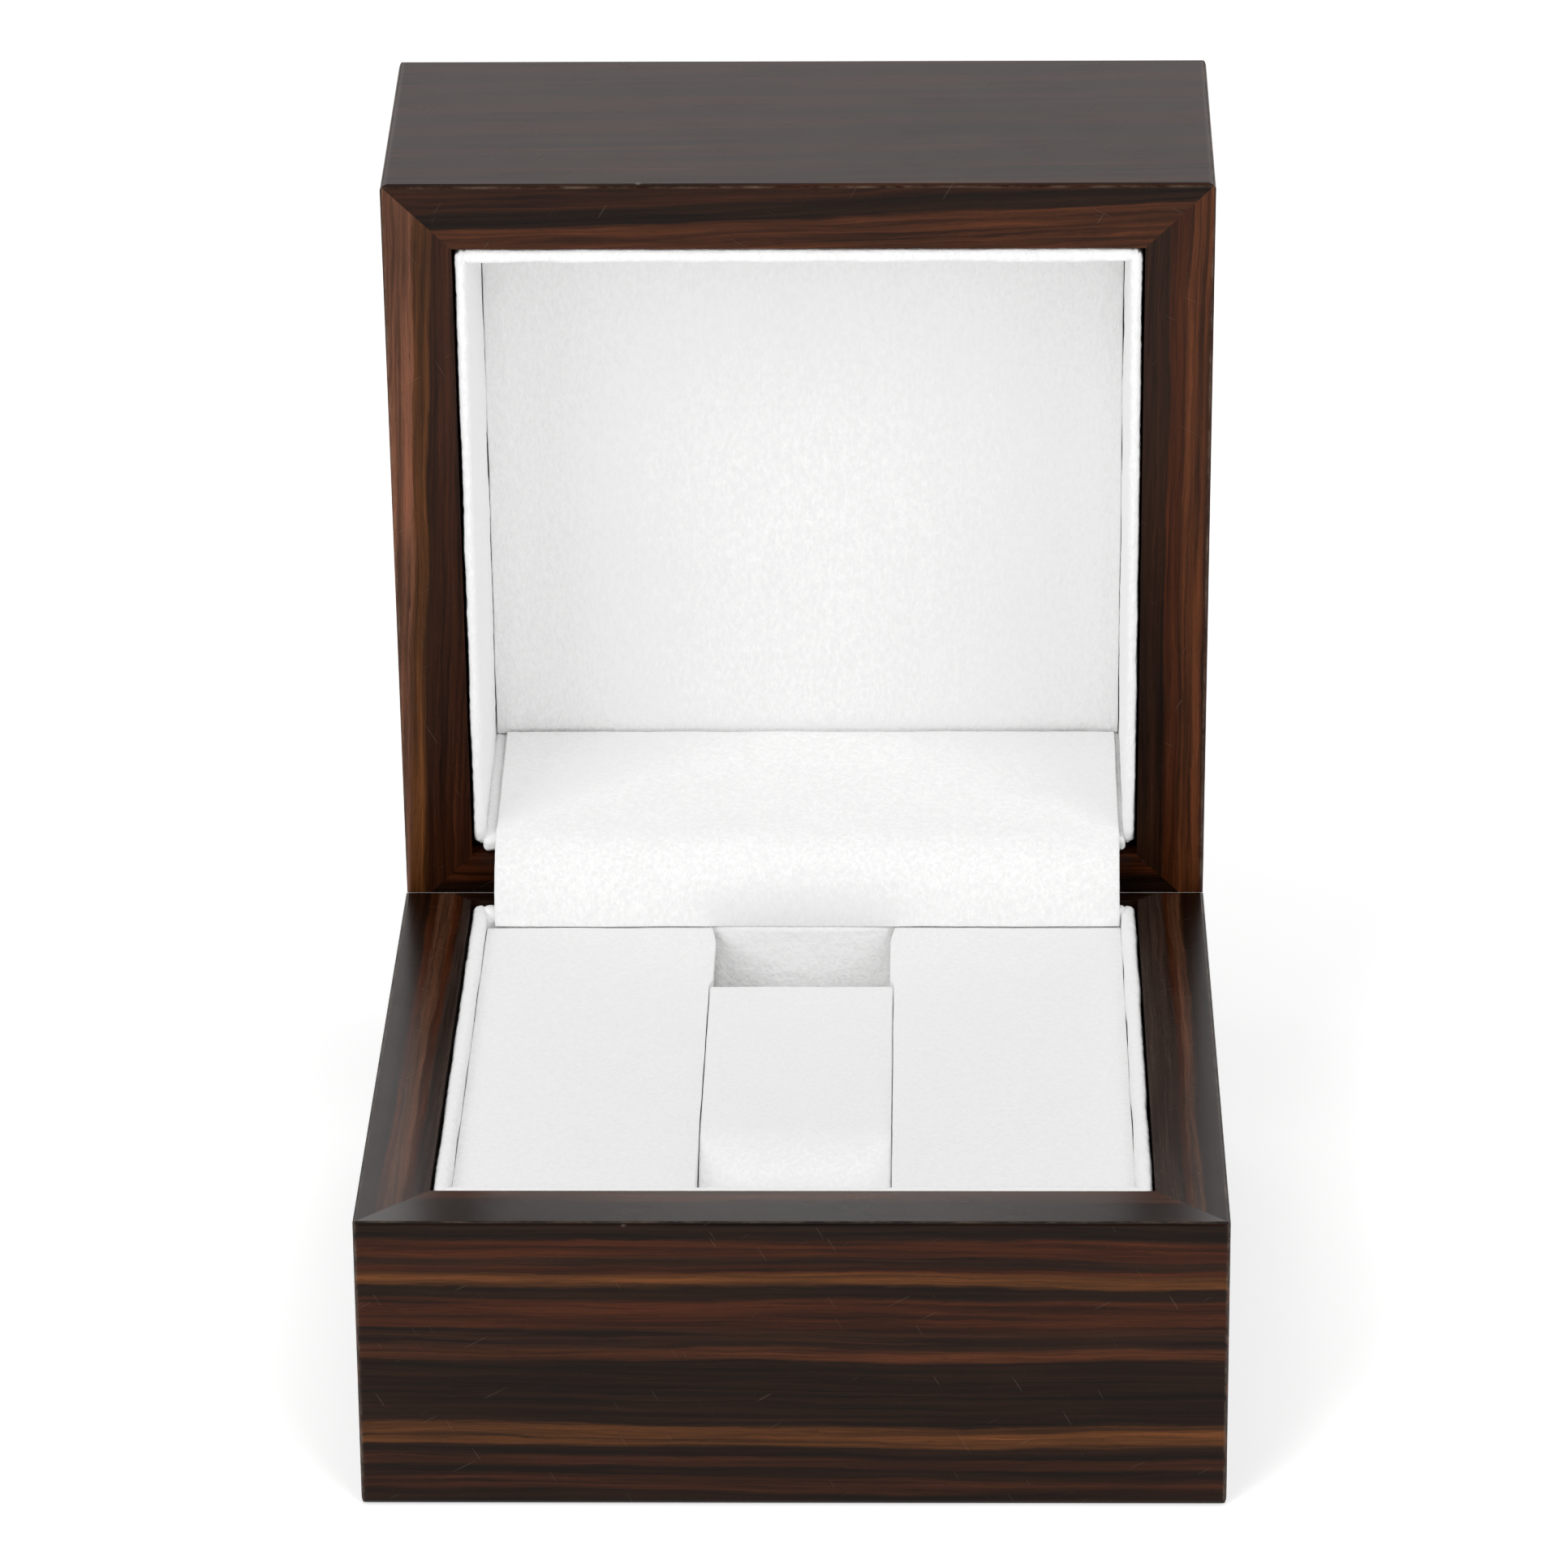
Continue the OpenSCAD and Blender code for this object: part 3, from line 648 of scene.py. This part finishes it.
SUEDE_BASE = suede("suede_base", 3.0)
BRUSHED = LID_ROT @ Vector((0, 1, 0))
# the lid's suede is painted a little darker than the base's: painted shade for the inside of the lid
SUEDE_LID_SHADED = suede("suede_lid_painted_shade", 41.0, BRUSHED, 0.88)
# the flap's suede is painted lighter: painted light where the flap hangs over the slot
SUEDE_FLAP_LIT = suede("suede_flap_painted_light", 97.0, BRUSHED, 0.93)
SUEDE_PAD = suede("suede_collar", 77.0)
# the channel's suede, used also on the back cuff, is painted lighter: painted light in the slot, where shade
# falls
SUEDE_CHANNEL_LIT = suede("suede_channel_painted_light", 19.0, tone=0.965)


def ease(x):
    """Smooth step from 0 to 1."""
    x = min(1.0, max(0.0, x))
    return x * x * (3 - 2 * x)


cuff_face = node_box("base_cuff_back")[0].y
collar_back = node_box("collar_pad_upper")[1].y
slot_half = node_box("side_board_right")[0].x
flap_foot = node_box("side_board_right")[1].z - 0.35  # the flap shows from just below the boards


def slot_back(p):
    """The back cuff bellies out below the flap, where nothing stands against it between the boards."""
    if p.y < cuff_face + 0.5 and abs(p.x) < slot_half and p.z < flap_foot - 0.15:
        deep = ease((flap_foot - p.z) / 16.0)
        p.y -= (0.88 - 0.5 * deep) * (1 - (p.x / slot_half) ** 6)
    return p


# cuffs: thin covered strips that stand beside the walls and turn the corners as one loop
CORNER_R = 1.3  # where two cuffs meet
END_R = 3.4  # at the ends of the lid's side cuffs, on the rim
THINNER = 0.4  # by which the lid's side cuffs stay back from the ceiling pad
LONGER = 0.9  # by which the front and back cuffs reach into the corners
for part, lid in (("base", False), ("lid", True)):
    place = lid_place if lid else base_place
    rim_side = -1 if lid else 1
    for i, side in enumerate(("left", "right", "front", "back")):
        node = f"{part}_cuff_{side}"
        # the back cuff shows in the slot and so takes the channel's lighter suede, which is painted light
        # there
        mat = SUEDE_LID_SHADED if lid else SUEDE_CHANNEL_LIT if side == "back" else SUEDE_BASE
        lo, hi = node_box(node, lid)
        corners = []
        if side in ("left", "right"):
            out = -1 if side == "left" else 1
            face = (0, -out)
            corners = [(0, out, 1, -1, CORNER_R), (0, out, 1, 1, CORNER_R)]
            if lid:
                corners.append((1, 1, 2, rim_side, END_R))
                lo.x, hi.x = (lo.x, hi.x - THINNER) if out < 0 else (lo.x + THINNER, hi.x)
        else:
            face = (1, 1 if side == "front" else -1)
            lo.x -= LONGER
            hi.x += LONGER
        o, _ = soft_block(node + "_suede", mat, lo, hi, 0.75 if lid else 0.92, 0.45, place, face, rough=0.15,
                          fuzz=0.09, seed=7.0 * i + (3.0 if lid else 1.0), corners=corners, even=True,
                          press=slot_back if node == "base_cuff_back" else None)
        lining(o, part, node)

# ceiling pad of the lid
lo, hi = node_box("lid_ceiling_pad", True)
o, held = soft_block("lid_ceiling_suede", SUEDE_LID_SHADED, lo, hi, 0.3, 1.0, lid_place, (2, -1), crown=0.25,
                     rough=0.12, fuzz=0.03, seed=23.0, grow=(0.48, 0.0, 0.0), roll=(0.45, 2.2))
puff(o, held, LID_ROT @ -UP, 0.25)
lining(o, "lid", "lid_ceiling_pad")

# side boards, channel linings and the pad on the channel's floor
BOARD_SUNK = 0.1  # room for the crown and the swelling
BOARD_WIDER = 0.07  # as far as the side cuff
for side, out in (("left", -1), ("right", 1)):
    node = f"side_board_{side}"
    lo, hi = node_box(node)
    hi.z -= BOARD_SUNK
    lo.x, hi.x = (lo.x - BOARD_WIDER, hi.x) if out < 0 else (lo.x, hi.x + BOARD_WIDER)
    inner = slot_half * out

    def slot_edge(p):
        """The foam board swells into the slot behind the collar, which holds it back farther forward."""
        along = (p.y - collar_back) / (cuff_face - collar_back)
        if 0 < along < 1:
            give = ease(along / 0.12) * ease((1 - along) / 0.3) * ease((4.0 - abs(p.x - inner)) / 3.5)
            p.x -= out * 0.55 * give * ease((p.z - lo.z) / 1.5)
        return p

    o, held = soft_block(node + "_suede", SUEDE_BASE, lo, hi, 0.22, 0.9, base_place, (2, 1), crown=0.08,
                         rough=0.07, fuzz=0.02, seed=31.0 + out * 3, grow=(0.02, 0.09, 0.0),
                         roll=(0.30, 1.8), press=slot_edge)
    puff(o, held, UP, 0.2)
    lining(o, "base", node)
    node = f"channel_lining_{side}"
    lo, hi = node_box(node)
    o, _ = soft_block(node + "_suede", SUEDE_CHANNEL_LIT, lo, hi, 0.2, 1.2, base_place, (0, -out),
                      fuzz=0.02, seed=51.0)
    lining(o, "base", node)
lo, hi = node_box("channel_floor_pad")
o, _ = soft_block("channel_floor_suede", SUEDE_CHANNEL_LIT, lo, hi, 0.4, 1.2, base_place, (2, 1), crown=0.03,
                  rough=0.06, fuzz=0.02, seed=61.0, grow=(0.0, 0.0, -0.03))
lining(o, "base", "channel_floor_pad")


# ---------------------------------------------------------------- collar

top = node_box("collar_pad_upper")[1].z
bottom = node_box("collar_pad_lower")[0].z
first, last = node_box("collar_pad_upper")[0].y, node_box("collar_pad_upper")[1].y
BEND = (top - bottom) / 2
MID_Z = (top + bottom) / 2
PAD_T = BEND - (node_box("collar_core_upper")[1].z - MID_Z)
PAD_R = BEND - PAD_T / 2  # radius of the bend at the middle of the padding
PAD_WIDER = 0.38  # by which the suede stands out beside the core
PAD_SUNK = 0.12  # room for the crown and the swelling
PAD_RAISED = 0.03  # by which the suede starts off the core
BEND_RUN = PAD_R * math.pi / 2


def collar_place(sign):
    """From (across, along, out of the collar's skin) to the row frame, up one half of the C."""

    def place(p):
        x, s, m = p
        if s < BEND_RUN:
            a = s / BEND_RUN * math.pi / 2
            y, z = -math.cos(a), math.sin(a)
            return base_place((x, first + BEND + y * (PAD_R + m), MID_Z + sign * z * (PAD_R + m)))
        return base_place((x, first + BEND + s - BEND_RUN, MID_Z + sign * (PAD_R + m)))

    return place


collar_run = BEND_RUN + last - first - BEND
for node, body, sign in (("collar_pad_upper", "collar_leaf", 1), ("collar_pad_lower", "collar", -1)):
    lo, hi = node_box(node)
    start = abs((lo.z if sign > 0 else hi.z) - MID_Z)
    half = (hi.x - lo.x) / 2 + PAD_WIDER
    lo, hi = (-half, start, -PAD_T / 2 + PAD_RAISED), (half, collar_run, PAD_T / 2 - PAD_SUNK)
    o, held = soft_block(node + "_suede", SUEDE_PAD, lo, hi, 0.5, 0.8, collar_place(sign), (2, 1), crown=0.10,
                         fuzz=0.02, seed=71.0, roll=(0.10, 1.2))
    puff(o, held, None, 0.12)
    lining(o, body, node)


# ---------------------------------------------------------------- flap over the hinge

flap_lo, flap_hi = node_box("hinge_flap")
pad_face = node_box("lid_ceiling_pad", True)[0].z
FLAP_T = 0.8
FLAP_R = 9.0
ASIDE = 0.45  # the flap is glued a little to the right
CLEAR = 0.05  # by which it stays off the lid's linings
flap_y = flap_lo.y + FLAP_T / 2
cos_open, sin_open = math.cos(OPEN), math.sin(OPEN)
rim_pt = Vector(lid_place((0, flap_y - CLEAR, LID_Z))) * 1000.0
bend_y = flap_y + FLAP_R
bend_z = rim_pt.z + ((bend_y - rim_pt.y) * cos_open - FLAP_R) / sin_open
rise = bend_z - flap_lo.z
turn = OPEN * FLAP_R
end_pt = Vector(lid_place((0, flap_y - CLEAR, pad_face - CLEAR))) * 1000.0
turn_end = (bend_y - FLAP_R * cos_open, bend_z + FLAP_R * sin_open)
flap_run = rise + turn + math.dist(turn_end, (end_pt.y, end_pt.z)) - 2 * CLEAR
flap_start = flap_foot - flap_lo.z


def flap_place(p):
    """From (across, along, towards the box's inside) to the row frame, up the base and along the lid."""
    x, s, m = p
    if s < rise:
        return base_place((x, flap_y - m, flap_lo.z + s))
    if s < rise + turn:
        angle = (s - rise) / FLAP_R
        radius = FLAP_R + m
        return base_place((x, bend_y - radius * math.cos(angle), bend_z + radius * math.sin(angle)))
    s -= rise + turn
    y = turn_end[0] + sin_open * s - cos_open * m
    z = turn_end[1] + cos_open * s + sin_open * m
    return base_place((x, y, z))


lo = (flap_lo.x + ASIDE, flap_start, -FLAP_T / 2)
hi = (flap_hi.x + ASIDE, flap_run, FLAP_T / 2)
flap, _ = soft_block("hinge_flap_suede", SUEDE_FLAP_LIT, lo, hi, 0.3, 0.9, flap_place, (2, 1),
                     rough=0.10, seed=83.0)
flap_place((0, rise, 0))
flap_place((0, rise + turn, 0))
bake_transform(flap)
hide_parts("hinge_flap")


# ---------------------------------------------------------------- felt underside

lo, hi = node_box("underside_felt")
felt_corners = [(0, x_side, 1, y_side, 2.0) for x_side in (-1, 1) for y_side in (-1, 1)]
pad, _ = soft_block("underside_felt_sheet", felt("black_felt"), lo, hi, 0.2, 2.5, base_place, (2, -1),
                    rough=0.0, fuzz=0.0, seed=4.0, corners=felt_corners)
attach(pad, "base")
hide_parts("underside_felt")


# ---------------------------------------------------------------- stage, light, camera

floor_mat = Nodes("floor_white")
grain = floor_mat.noise(floor_mat.coord, 3.0, 3.0)
floor_mat.set("Base Color", floor_mat.ramp(grain, [(0.2, (0.90, 0.90, 0.90)), (0.8, (0.93, 0.93, 0.93))]))
floor_mat.set("Roughness", 0.9)
floor_mat.set("Specular IOR Level", 0.1)
floor_mat.set("Emission Color", (1.0, 1.0, 1.0, 1.0))
floor_mat.set("Emission Strength", 0.44)
me = bpy.data.meshes.new("floor")
REACH = 6.0  # half the side of the floor
ends = [(-REACH, -REACH, 0), (REACH, -REACH, 0), (REACH, REACH, 0), (-REACH, REACH, 0)]
me.from_pydata(ends, [], [(0, 1, 2, 3)])
me.materials.append(floor_mat.mat)
floor = bpy.data.objects.new("floor", me)
bpy.context.scene.collection.objects.link(floor)


def area(name, loc, target, size, size_y, radiance):
    """A rectangular soft box of the given brightness."""
    lamp = bpy.data.lights.new(name, "AREA")
    lamp.shape = "RECTANGLE"
    lamp.size, lamp.size_y = size, size_y
    lamp.energy = radiance * math.pi * size * size_y
    o = bpy.data.objects.new(name, lamp)
    bpy.context.scene.collection.objects.link(o)
    o.location = loc
    o.rotation_euler = (Vector(target) - Vector(loc)).to_track_quat("-Z", "Y").to_euler()


area("left_box", (-0.90, -1.25, 1.06), (0, 0, 0.07), 0.9, 1.2, 4.6)
area("right_box", (0.90, -1.25, 1.06), (0, 0, 0.07), 0.9, 1.2, 3.3)
area("top_box", (0, -0.3, 1.8), (0, 0, 0.07), 1.2, 1.0, 1.75)
area("back_box", (0, 1.7, 0.98), (0, 0, 0.06), 2.8, 1.05, 1.3)
world = bpy.data.worlds.new("studio")
world.use_nodes = True
background = world.node_tree.nodes["Background"]
background.inputs["Color"].default_value = (1.0, 1.0, 1.0, 1.0)
background.inputs["Strength"].default_value = 0.24
bpy.context.scene.world = world
view = bpy.context.scene.view_settings
view.view_transform = "Standard"
view.look = "None"
view.use_curve_mapping = True  # a camera's tone curve: the shadows held, the whites eased together
view.curve_mapping.use_clip = False
tone = view.curve_mapping.curves[3]  # the curve for all three channels together
tone.points[0].location = (0.0, 0.0)
tone.points[-1].location = (1.05, 1.0)
for x, y in ((0.2, 0.2), (0.45, 0.53), (0.58, 0.67), (0.75, 0.80), (0.92, 0.88)):
    tone.points.new(x, y)
view.curve_mapping.update()

CAMERA_AT = Vector((0.0181, -0.8906, 0.4482))
yaw, pitch, roll = math.radians(1.27), math.radians(22.65), math.radians(-0.52)
cam = bpy.data.cameras.new("camera")
cam.lens = 170.6
cam.sensor_width = 36.0
cam.clip_start = 0.05
cam.clip_end = 30.0
camera = bpy.data.objects.new("camera", cam)
bpy.context.scene.collection.objects.link(camera)
right = Vector((math.cos(yaw), math.sin(yaw), 0.0))
ahead = Vector((-math.sin(yaw) * math.cos(pitch), math.cos(yaw) * math.cos(pitch), -math.sin(pitch)))
up = right.cross(ahead)
x_axis = right * math.cos(roll) + up * math.sin(roll)
y_axis = up * math.cos(roll) - right * math.sin(roll)
rot = Matrix((x_axis, y_axis, -ahead)).transposed().to_4x4()
camera.matrix_world = Matrix.Translation(CAMERA_AT) @ rot
bpy.context.scene.camera = camera

bpy.context.view_layer.update()
